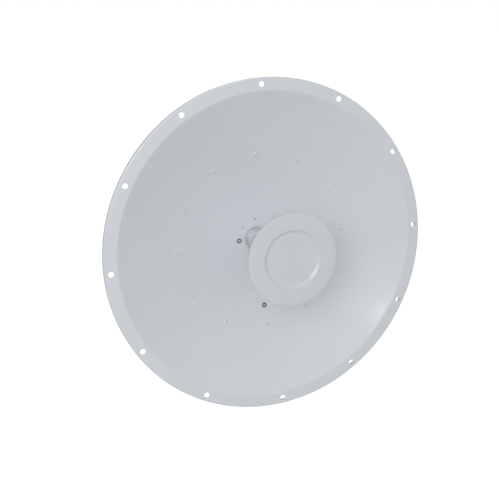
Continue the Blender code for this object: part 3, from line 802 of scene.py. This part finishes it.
def make_neck(plastic):
    """The flared moulding that carries the disc on the tube."""
    foot = TUBE_TOP - NECK_LENGTH
    profile = filleted([
        (HUB_HOLE_RADIUS, TUBE_TOP),
        (NECK_TOP_RADIUS, TUBE_TOP, MOULD_EDGE),
        (NECK_TOP_RADIUS, TUBE_TOP - NECK_RIM, MOULD_ROUND),
        (NECK_FOOT_RADIUS, foot + NECK_COLLAR, NECK_FLARE),
        (NECK_FOOT_RADIUS, foot, NECK_FOOT_ROUND),
        (HUB_HOLE_RADIUS, foot, EDGE_BREAK),
    ])
    dress(turned("neck", profile, TUBE_STEPS, closed=True), plastic, "feed_plastic", "feed_neck")


def make_plate(aluminium):
    """The flat metal disc that turns the waves back into the bowl."""
    back = PLATE_FRONT - PLATE_THICKNESS
    profile = filleted([
        (0, PLATE_FRONT),
        (PLATE_RADIUS, PLATE_FRONT, EDGE_BREAK),
        (PLATE_RADIUS, back, EDGE_BREAK),
        (0, back),
    ], EDGE_STEPS)
    plate = turned("metal_disc", profile, PLATE_STEPS)
    dress(plate, aluminium, "subreflector_metal", "subreflector_plate")


def make_disc_lid(plastic):
    """A moulded lid with a solid sunk middle, and a raised rim that is hollow behind."""
    floor = DISC_FRONT - RECESS_DEPTH
    back = DISC_FRONT - DISC_DEPTH
    inside = DISC_RADIUS - DISC_TAPER - DISC_SKIN
    recess_foot = RECESS_RADIUS - RECESS_SLOPE
    crease = RECESS_CREASE
    profile = filleted([
        (0, floor),
        (recess_foot, floor, MOULD_FILLET),
        (RECESS_RADIUS, DISC_FRONT - crease / 2, crease / 4),
        (RECESS_RADIUS, DISC_FRONT - crease),
        (RECESS_RADIUS + crease, DISC_FRONT - crease),
        (RECESS_RADIUS + crease, DISC_FRONT, crease / 2),
        (DISC_RADIUS, DISC_FRONT, DISC_EDGE_RADIUS),
        (DISC_RADIUS, DISC_FRONT - DISC_EDGE_DEPTH, EDGE_BREAK),
        (DISC_RADIUS - DISC_TAPER, back, EDGE_BREAK),
        (inside, back, EDGE_BREAK),
        (inside, DISC_FRONT - DISC_SKIN, MOULD_EDGE),
        (RECESS_RADIUS + DISC_SKIN / 2, DISC_FRONT - DISC_SKIN, MOULD_EDGE),
        (recess_foot + DISC_SKIN / 2, back, MOULD_EDGE),
        (0, back),
    ])
    dress(turned("disc_lid", profile, PLATE_STEPS), plastic, "feed_plastic", "feed_disc_cover")


def make_rear_cap(plastic):
    """Closes the tube's back end: a spigot in the tube and a flange on the bracket."""
    seat = -WEB_BACK_DEPTH - GAP
    spigot = TUBE_BORE - GAP
    profile = filleted([
        (0, seat + REAR_CAP_SPIGOT),
        (spigot, seat + REAR_CAP_SPIGOT, MOULD_ROUND),
        (spigot, seat),
        (REAR_CAP_RADIUS, seat, EDGE_BREAK),
        (REAR_CAP_RADIUS, seat - REAR_CAP_THICKNESS, MOULD_FILLET),
        (0, seat - REAR_CAP_THICKNESS),
    ])
    dress(turned("rear_cap", profile, TUBE_STEPS), plastic, "cap_plastic", "feed_rear_cap")


def make_connectors(brass):
    """Two coaxial sockets on the rear cap, each with a plain barrel and a centre pin."""
    flange = 0.0048
    barrel = 0.0030
    bore = 0.0024
    pin = 0.0007
    lip = 0.0001
    step = -0.002
    floor = -0.0045
    pin_end = -0.0095
    profile = filleted([
        (0, 0),
        (flange, 0),
        (flange, step, EDGE_BREAK),
        (barrel, step),
        (barrel, -CONNECTOR_LENGTH, lip),
        (bore, -CONNECTOR_LENGTH, lip),
        (bore, floor),
        (pin, floor),
        (pin, pin_end, EDGE_BREAK),
        (0, pin_end),
    ], FINE_STEPS)
    seat = -WEB_BACK_DEPTH - REAR_CAP_THICKNESS - 2 * GAP
    for side, x in (("left", -CONNECTOR_X), ("right", CONNECTOR_X)):
        matrix = DISH_FRAME @ Matrix.Translation((x, 0, seat))
        socket = turned(f"coaxial_socket_{side}", profile, matrix=matrix)
        dress(socket, brass, "connector_metal", f"rf_connector_{side}")


# Back plate and hub ring

def bracket_bolt_places():
    return [(x, z) for z in (BRACKET_BOLT_Z, -BRACKET_BOLT_Z) for x in (-BRACKET_BOLT_X, BRACKET_BOLT_X)]


def make_back_plate(paint):
    """A pressed plate riveted to the bowl's back, with a flat middle that carries the bracket."""
    radii = spread(BACK_PLATE_FOOT_RADIUS, BACK_PLATE_RADIUS, FOOT_STATIONS)
    foot = [behind_bowl(r, SHEET + GAP) for r in radii]
    front = filleted([
        (HUB_HOLE_RADIUS, -BACK_PLATE_DEPTH),
        (BACK_PLATE_FLAT_RADIUS, -BACK_PLATE_DEPTH, BACK_PLATE_BEND),
        (*foot[0], BACK_PLATE_BEND),
        foot[-1],
    ])[:-1] + foot[3:]
    plate = turned("pressed_plate", sheet_outline(front, BACK_PLATE_THICKNESS), PLATE_STEPS, closed=True)
    bolts = [Matrix.Translation((x, z, 0)) for x, z in bracket_bolt_places()]
    holes = (
        ([lower_screw_frame()], SCREW_HOLE_RADIUS, -SHEET - GAP),
        (bolts, BRACKET_BOLT_RADIUS + GAP, -BACK_PLATE_DEPTH),
    )
    for places, radius, face in holes:
        plate = cut_holes(plate, places, radius, face, face - BACK_PLATE_THICKNESS)
    dress(plate, paint, "dish_paint", "back_plate")


def make_hub_ring(paint):
    """A thick ring behind the bowl's middle, which the two hub screws bite into."""
    radii = spread(HUB_HOLE_RADIUS, HUB_RING_RADIUS, RING_STATIONS)
    front = [behind_bowl(r, SHEET + GAP) for r in radii]
    ring = turned("backing_ring", sheet_outline(front, HUB_RING_THICKNESS), TUBE_STEPS, closed=True)
    behind = -SHEET - GAP
    foot = behind - HUB_RING_THICKNESS
    holes = ((hub_screw_frames(), SCREW_HOLE_RADIUS), ([bowl_frame(DOT_PLACE, 0)], DOT_RADIUS))
    for places, radius in holes:
        ring = cut_holes(ring, places, radius, behind, foot)
    dress(ring, paint, "dish_paint", "hub_ring")


# Threads, nuts and bolts

def rod_mesh(name, path, side, radius_at, steps=SMALL_STEPS):
    """A closed round rod along a flat path. Side is square to the path's plane, and the radius
    is a function of the length along the rod and the turn round it, as a share of a circle."""
    def make(work):
        length = 0.0
        rings = []
        for index, place in enumerate(path):
            before, after = path[max(index - 1, 0)], path[min(index + 1, len(path) - 1)]
            out = side.cross((after - before).normalized())
            length += (place - before).length
            ring = []
            for step in range(steps):
                share = step / steps
                angle = 2 * math.pi * share
                way = side * math.cos(angle) + out * math.sin(angle)
                ring.append(work.verts.new(place + way * radius_at(length, share)))
            rings.append(ring)
        for low, high in zip(rings, rings[1:]):
            for step in range(steps):
                after = (step + 1) % steps
                work.faces.new((low[step], low[after], high[after], high[step]))
        work.faces.new(rings[0])
        work.faces.new(rings[-1])
        bmesh.ops.recalc_face_normals(work, faces=work.faces)
    return smooth(mesh_from(name, make))


def thread_depth(length, share, pitch):
    """How far the thread's flank lies below its crest, a helix of straight flanks."""
    turn = (length / pitch + share) % 1.0
    return pitch * THREAD_DEPTH_SHARE * abs(2 * turn - 1)


def end_chamfer(length, total, depth):
    """How much the end of a rod is turned down, within the depth from either end."""
    return max(0.0, depth - length, depth - (total - length))


def hexagon(name, across_flats, low, high, chamfer_low, chamfer_high):
    """A hexagonal prism along Z whose corners are turned off at 30 degrees at one or both ends."""
    corner = across_flats / math.sqrt(3)
    middle = Matrix.Translation((0, 0, (low + high) / 2))
    body = mesh_from(name, lambda work: bmesh.ops.create_cone(
        work, cap_ends=True, segments=6, radius1=corner, radius2=corner, depth=high - low, matrix=middle))
    face = across_flats * HEX_FACE_SHARE
    drop = (corner - face) * HEX_SLOPE
    wide = corner + HEX_MARGIN
    top = [(0, high), (face, high), (wide, high - (wide - face) * HEX_SLOPE)]
    flat_top = [(0, high + drop), (wide, high + drop)]
    bottom = [(wide, low + (wide - face) * HEX_SLOPE), (face, low), (0, low)]
    flat_bottom = [(wide, low - drop), (0, low - drop)]
    profile = (top if chamfer_high else flat_top) + (bottom if chamfer_low else flat_bottom)
    cone = turned("cone", profile, TUBE_STEPS, matrix=WORLD)
    return combine(add_piece(name, body, WORLD), cone, "INTERSECT")


def flange_nut_mesh(name, across_flats, height, thread):
    """A hexagon nut with a round flange under it, which stands on height zero."""
    nut = hexagon(name, across_flats, NUT_FLANGE_HEIGHT / 2, height, False, True)
    corner = across_flats / math.sqrt(3)
    rim = corner * NUT_FLANGE_SPREAD
    in_to, up_to = NUT_FLANGE_TOP
    flange = turned("flange", filleted([
        (0, 0),
        (rim, 0, EDGE_BREAK),
        (rim, NUT_FLANGE_HEIGHT * NUT_FLANGE_EDGE_SHARE, EDGE_BREAK),
        (corner * in_to, NUT_FLANGE_HEIGHT * up_to),
        (0, NUT_FLANGE_HEIGHT * up_to),
    ], FINE_STEPS), NUT_STEPS, matrix=WORLD)
    nut = combine(nut, flange, "UNION")
    return mesh_of(cut_holes(nut, [WORLD], thread + GAP / 3, height, 0, matrix=WORLD))


def fit(name, mesh, matrix, zinc, node):
    """A copy of a bolt's or nut's mesh, put in its place."""
    dress(add_piece(name, mesh.copy(), matrix), zinc, "zinc_steel", node)


def make_bracket_bolts(zinc, nut):
    """Four low-headed bolts whose heads lie inside the back plate, and their nuts."""
    seat = -BACK_PLATE_DEPTH + GAP
    tail = -WEB_BACK_DEPTH - BRACKET_NUT_HEIGHT - BOLT_TAIL
    top = seat + BRACKET_HEAD_HEIGHT
    total = top - tail
    heights = [*BRACKET_HEAD_RINGS, *thread_rings(BRACKET_THREAD_START, total, BRACKET_BOLT_PITCH)]
    path = [Vector((0, 0, top - height)) for height in heights]

    def radius_at(length, share):
        if length < BRACKET_HEAD_HEIGHT:
            flare = min(length / BRACKET_HEAD_EDGE, 1.0) * BRACKET_HEAD_FLARE
            return BRACKET_HEAD_TOP_RADIUS + flare
        threaded = length > BRACKET_HEAD_HEIGHT + GAP
        depth = thread_depth(length, share, BRACKET_BOLT_PITCH) if threaded else 0
        return BRACKET_BOLT_RADIUS - depth - end_chamfer(length, total, BOLT_CHAMFER)

    mesh = rod_mesh("bracket_bolt", path, Vector((1, 0, 0)), radius_at)
    flip = Matrix.Rotation(math.pi, 4, "X")
    for number, (x, z) in enumerate(bracket_bolt_places(), 1):
        matrix = DISH_FRAME @ Matrix.Translation((x, z, 0))
        seated = DISH_FRAME @ Matrix.Translation((x, z, -WEB_BACK_DEPTH - GAP)) @ flip
        fit(f"plate_bolt_{number}", mesh, matrix, zinc, f"bracket_bolt_{number}")
        fit(f"plate_nut_{number}", nut, seated, zinc, f"bracket_nut_{number}")


def make_tilt_bolt(node, nut_node, z, zinc, nut):
    """A hexagon bolt across all four ears at this height, with its nut."""
    seat = DISH_BRACKET_HALF_WIDTH + GAP
    tail = seat + TILT_NUT_HEIGHT + BOLT_TAIL
    matrix = Matrix.Translation((0, PIVOT_Y, z)) @ ALONG_X
    total = tail + seat
    plain = total - TILT_THREAD_LENGTH
    stations = [-TILT_SHANK_ROOT, plain, *thread_rings(plain + TILT_RUNOUT, total, TILT_BOLT_PITCH)]
    path = [Vector((0, 0, -seat + station)) for station in stations]

    def radius_at(length, share):
        along = length - TILT_SHANK_ROOT
        depth = thread_depth(along, share, TILT_BOLT_PITCH) if along > plain else 0
        return TILT_BOLT_RADIUS - depth - max(0.0, TILT_CHAMFER - (total - along))

    shank = add_piece("shank", rod_mesh("shank", path, Vector((1, 0, 0)), radius_at), WORLD)
    head = hexagon("head", TILT_FLATS, -seat - TILT_HEAD_HEIGHT, -seat, True, False)
    wide = TILT_FLATS * TILT_FACE_SHARE
    sunk, proud = -seat - TILT_FACE_HEIGHT, -seat + GAP * TILT_FACE_GAP_SHARE
    ring = [(0, sunk), (wide, sunk), (wide, proud), (0, proud)]
    washer_face = turned("face", ring, NUT_STEPS, matrix=WORLD)
    head = combine(head, washer_face, "UNION")
    bolt = combine(head, shank, "UNION")
    dress(add_piece(f"{node}_threaded", mesh_of(bolt), matrix), zinc, "zinc_steel", node)
    seated = Matrix.Translation((seat + GAP, PIVOT_Y, z)) @ ALONG_X
    fit(f"{nut_node}_flanged", nut, seated, zinc, nut_node)


def make_u_bolts(zinc, nut):
    """Two U-bolts round a 50 mm mast, with a nut on each leg inside the mast bracket."""
    threaded = thread_rings(-U_BOLT_TAIL, U_BOLT_THREAD_END, BRACKET_BOLT_PITCH)
    leg = [(-U_BOLT_X, y) for y in threaded]
    bend = arc_points((0, MAST_RADIUS), U_BOLT_X, math.pi, 0, U_BEND_STEPS)
    path = leg + [tuple(p) for p in bend] + [(-x, y) for x, y in reversed(leg)]
    thread_length = U_BOLT_TAIL + U_BOLT_THREAD_END
    places = [Vector((x, y, 0)) for x, y in path]
    total = sum((b - a).length for a, b in zip(places, places[1:]))

    def radius_at(length, share):
        near = min(length, total - length)
        runout = min(1.0, max(0.0, (thread_length - near) / BRACKET_BOLT_PITCH))
        depth = runout * thread_depth(length, share, BRACKET_BOLT_PITCH)
        return U_BOLT_ROD_RADIUS - depth - end_chamfer(length, total, BOLT_CHAMFER)

    mesh = rod_mesh("u_bolt", places, Vector((0, 0, 1)), radius_at)
    seat = -BRACKET_SHEET - GAP
    for level, z in (("upper", U_BOLT_Z), ("lower", -U_BOLT_Z)):
        fit(f"mast_clamp_{level}", mesh, Matrix.Translation((0, 0, z)), zinc, f"u_bolt_{level}")
        for side, x in (("left", -U_BOLT_X), ("right", U_BOLT_X)):
            matrix = Matrix.Translation((x, seat, z)) @ ALONG_Y
            fit(f"mast_clamp_nut_{level}_{side}", nut, matrix, zinc, f"u_bolt_nut_{level}_{side}")


# Brackets

def channel_section(half_width, web_y, ear_y):
    """Outline of a U-shaped section in XY, its web's outer face at web_y and its ears' ends at ear_y."""
    sheet = BRACKET_SHEET if ear_y > web_y else -BRACKET_SHEET
    inner_bend = BRACKET_BEND - BRACKET_SHEET
    inner = half_width - BRACKET_SHEET
    return filleted([
        (-half_width, ear_y),
        (-half_width, web_y, BRACKET_BEND),
        (half_width, web_y, BRACKET_BEND),
        (half_width, ear_y),
        (inner, ear_y),
        (inner, web_y + sheet, inner_bend),
        (-inner, web_y + sheet, inner_bend),
        (-inner, ear_y),
    ])


def through(piece, frames, radius, steps=HOLE_STEPS):
    """Plain round holes right through a bracket, along the Z of each frame."""
    def make(work):
        for place in frames:
            bmesh.ops.create_cone(
                work, cap_ends=True, segments=steps, radius1=radius, radius2=radius, depth=CUT_DEPTH,
                matrix=place)
    return combine(piece, add_piece("cutter", mesh_from("cutter", make), WORLD), "DIFFERENCE")


def cross_frames(places):
    """Frames with Z across the bracket, at (y, z) places."""
    return [Matrix.Translation((0, y, z)) @ ALONG_X for y, z in places]


def axial_frames(places, y):
    """Frames with Z along the dish's axis, at (x, z) places on a web. They make a cutter short."""
    short = Matrix.Diagonal((1, 1, WEB_CUT_SHARE, 1))
    return [Matrix.Translation((x, y, z)) @ ALONG_Y @ short for x, z in places]


def slot_end(swing):
    """Centre of the tilt slot's round end, turned by swing from upright about the pivot."""
    angle = math.pi / 2 + swing
    return (PIVOT_Y + TILT_RADIUS * math.cos(angle), PIVOT_Z + TILT_RADIUS * math.sin(angle))


def tilt_slot():
    """Outline of the curved slot in the ears."""
    swing = math.radians(TILT_SWING)
    half = TILT_BOLT_RADIUS + GAP
    upright = math.pi / 2
    centre = (PIVOT_Y, PIVOT_Z)
    slot = arc_points(centre, TILT_RADIUS + half, upright + swing, upright - swing, SLOT_STEPS)
    slot += arc_points(slot_end(-swing), half, upright - swing, -upright - swing, SLOT_END_STEPS)[1:]
    slot += arc_points(centre, TILT_RADIUS - half, upright - swing, upright + swing, SLOT_STEPS)[1:]
    slot += arc_points(slot_end(swing), half, swing - upright, swing - 3 * upright, SLOT_END_STEPS)[1:-1]
    return slot


def channel(name, half_width, height, web, tip, shoulder, drop):
    """A bent channel that stands upright, with rounded ears from its web to the tip."""
    way = 1 if tip > web else -1
    behind = web - way * CUT_MARGIN
    front = web + way * shoulder
    over = -way * (height + CUT_MARGIN)
    end = -way * height
    eased = -way * (height - drop)
    side = filleted([
        (behind, over),
        (front, over),
        (front, end, SHOULDER_ROUND),
        (tip, eased, EAR_ROUND),
        (tip, -eased, EAR_ROUND),
        (front, -end, SHOULDER_ROUND),
        (front, -over),
        (behind, -over),
    ], EAR_STEPS)
    bent = prism(name, channel_section(half_width, web, tip), 2 * height, WORLD)
    return combine(bent, prism("side", side, CUT_DEPTH, SIDE_FRAME), "INTERSECT")


def make_dish_bracket(paint):
    """The channel bolted to the back plate, its ears slotted for the tilt."""
    web = WEB_BACK_Y - BRACKET_SHEET
    size = (DISH_BRACKET_HALF_WIDTH, DISH_BRACKET_HALF_HEIGHT, web, web + DISH_BRACKET_DEPTH)
    bracket = channel("tilt_channel", *size, DISH_EAR_SHOULDER, DISH_EAR_DROP)
    bracket = combine(bracket, prism("slot", tilt_slot(), CUT_DEPTH, SIDE_FRAME), "DIFFERENCE")
    bracket = through(bracket, cross_frames([(PIVOT_Y, PIVOT_Z)]), TILT_BOLT_RADIUS + GAP)
    web_middle = WEB_BACK_Y - BRACKET_SHEET / 2
    centre_hole = axial_frames([(0, 0)], web_middle)
    bracket = through(bracket, centre_hole, HUB_HOLE_RADIUS, TUBE_STEPS)
    bolts = axial_frames(bracket_bolt_places(), web_middle)
    bracket = through(bracket, bolts, BRACKET_BOLT_RADIUS + GAP)
    dress(break_edges(bracket, PLATE_EDGE_BREAK), paint, "bracket_paint", "dish_bracket")


def make_mast_bracket(paint):
    """The channel between the dish bracket's ears, its flat back against the mast."""
    size = (MAST_BRACKET_HALF_WIDTH, MAST_BRACKET_HALF_HEIGHT, 0, -MAST_BRACKET_DEPTH)
    bracket = channel("mast_channel", *size, MAST_EAR_SHOULDER, MAST_EAR_DROP)
    bolts = cross_frames([(PIVOT_Y, PIVOT_Z), (PIVOT_Y, TILT_BOLT_Z)])
    bracket = through(bracket, bolts, TILT_BOLT_RADIUS + GAP)
    places = [(x, z) for x in (-U_BOLT_X, U_BOLT_X) for z in (-U_BOLT_Z, U_BOLT_Z)]
    legs = axial_frames(places, -BRACKET_SHEET / 2)
    bracket = through(bracket, legs, U_BOLT_ROD_RADIUS + GAP)
    dress(break_edges(bracket, PLATE_EDGE_BREAK), paint, "bracket_paint", "mast_bracket")


# Studio

def make_camera():
    data = bpy.data.cameras.new("camera")
    data.sensor_width = SENSOR_MM
    data.lens = FOCAL_PIXELS * SENSOR_MM / FRAME_PIXELS
    data.shift_x, data.shift_y = LENS_SHIFT
    aim = rotation(-CAMERA_AZIMUTH) @ rotation(90 + CAMERA_PITCH, "X") @ rotation(CAMERA_ROLL)
    place = Matrix.Translation(CAMERA_PLACE) @ aim
    bpy.context.scene.camera = add_piece("camera", data, place)


def make_floor():
    """A plain pale floor, far enough below that the dish's shadow on it is soft. It looks like
    white paper, and throws back less light than it shows."""
    def grid(work):
        bmesh.ops.create_grid(work, x_segments=1, y_segments=1, size=FLOOR_SIZE)
    floor = add_piece("floor", mesh_from("floor", grid), Matrix.Translation((0, 0, FLOOR_Z)))
    paper = new_material("floor_paper", (FLOOR_SHADE,) * 3, FLOOR_ROUGHNESS)
    nodes, links = paper.node_tree.nodes, paper.node_tree.links
    path = nodes.new("ShaderNodeLightPath")
    shader = nodes["Principled BSDF"]
    shader.inputs["Emission Color"].default_value = (*(FLOOR_GLOW,) * 3, 1.0)
    links.new(path.outputs["Is Camera Ray"], shader.inputs["Emission Strength"])
    floor.data.materials.append(paper)


def direction(azimuth, elevation):
    """A unit vector: azimuth in degrees from -Y towards +X, elevation above the horizon."""
    azimuth, elevation = math.radians(azimuth), math.radians(elevation)
    flat = math.cos(elevation)
    return Vector((math.sin(azimuth) * flat, -math.cos(azimuth) * flat, math.sin(elevation)))


def make_world():
    """White paper behind, and a soft sky of light that is brightest in front, at the upper left."""
    world = bpy.data.worlds.new("studio")
    world.use_nodes = True
    nodes, links = world.node_tree.nodes, world.node_tree.links
    light = nodes["Background"]
    paper = nodes.new("ShaderNodeBackground")
    choose = nodes.new("ShaderNodeMixShader")
    path = nodes.new("ShaderNodeLightPath")
    place = nodes.new("ShaderNodeTexCoord")
    along = nodes.new("ShaderNodeVectorMath")
    along.operation = "DOT_PRODUCT"
    along.inputs[1].default_value = direction(*SKY_WAY)
    span = nodes.new("ShaderNodeMapRange")
    span.inputs["To Min"].default_value = SKY_LOW
    span.inputs["To Max"].default_value = SKY_HIGH
    links.new(place.outputs["Generated"], along.inputs[0])
    links.new(along.outputs["Value"], span.inputs["Value"])
    links.new(span.outputs["Result"], light.inputs["Strength"])
    links.new(path.outputs["Is Camera Ray"], choose.inputs["Fac"])
    links.new(light.outputs["Background"], choose.inputs[1])
    links.new(paper.outputs["Background"], choose.inputs[2])
    links.new(choose.outputs["Shader"], nodes["World Output"].inputs["Surface"])
    for background in (light, paper):
        background.inputs["Color"].default_value = (1.0, 1.0, 1.0, 1.0)
    bpy.context.scene.world = world


def make_light(name, turns, distance, size, power):
    """A round soft box that faces the dish."""
    data = bpy.data.lights.new(name, "AREA")
    data.shape = "DISK"
    data.size = size
    data.energy = power
    light = add_piece(name, data, WORLD)
    way = direction(*turns)
    light.location = Vector((0, FLANGE_Y, 0)) + way * distance
    light.rotation_mode = "QUATERNION"
    light.rotation_quaternion = (-way).to_track_quat("-Z", "Y")


def set_colours():
    """Plain display colours, so that white paper stays white."""
    view = bpy.context.scene.view_settings
    view.view_transform = "Standard"
    view.look = "None"


def main():
    make_camera()
    make_floor()
    make_world()
    for row in LIGHTS:
        make_light(*row)
    set_colours()

    finishes = [finish(*row) for row in FINISHES]
    paint, satin, plastic, grey, rubber, aluminium, steel, zinc, brass = finishes

    make_bowl(paint)
    make_rivets(paint)
    make_spot_welds(paint)
    make_hub_rivet(paint)
    make_bowl_screws(steel, rubber)
    make_back_plate(paint)
    make_hub_ring(paint)

    make_tube(plastic)
    make_latch(plastic)
    make_neck(plastic)
    make_plate(aluminium)
    make_disc_lid(plastic)
    make_rear_cap(grey)
    make_connectors(brass)

    small_nut = flange_nut_mesh("nut_m8", BRACKET_NUT_FLATS, BRACKET_NUT_HEIGHT, BRACKET_BOLT_RADIUS)
    large_nut = flange_nut_mesh("nut_m10", TILT_FLATS, TILT_NUT_HEIGHT, TILT_BOLT_RADIUS)
    make_bracket_bolts(zinc, small_nut)
    make_u_bolts(zinc, small_nut)
    make_tilt_bolt("pivot_bolt", "pivot_nut", PIVOT_Z, zinc, large_nut)
    make_tilt_bolt("tilt_lock_bolt", "tilt_lock_nut", TILT_BOLT_Z, zinc, large_nut)
    make_dish_bracket(satin)
    make_mast_bracket(satin)


main()
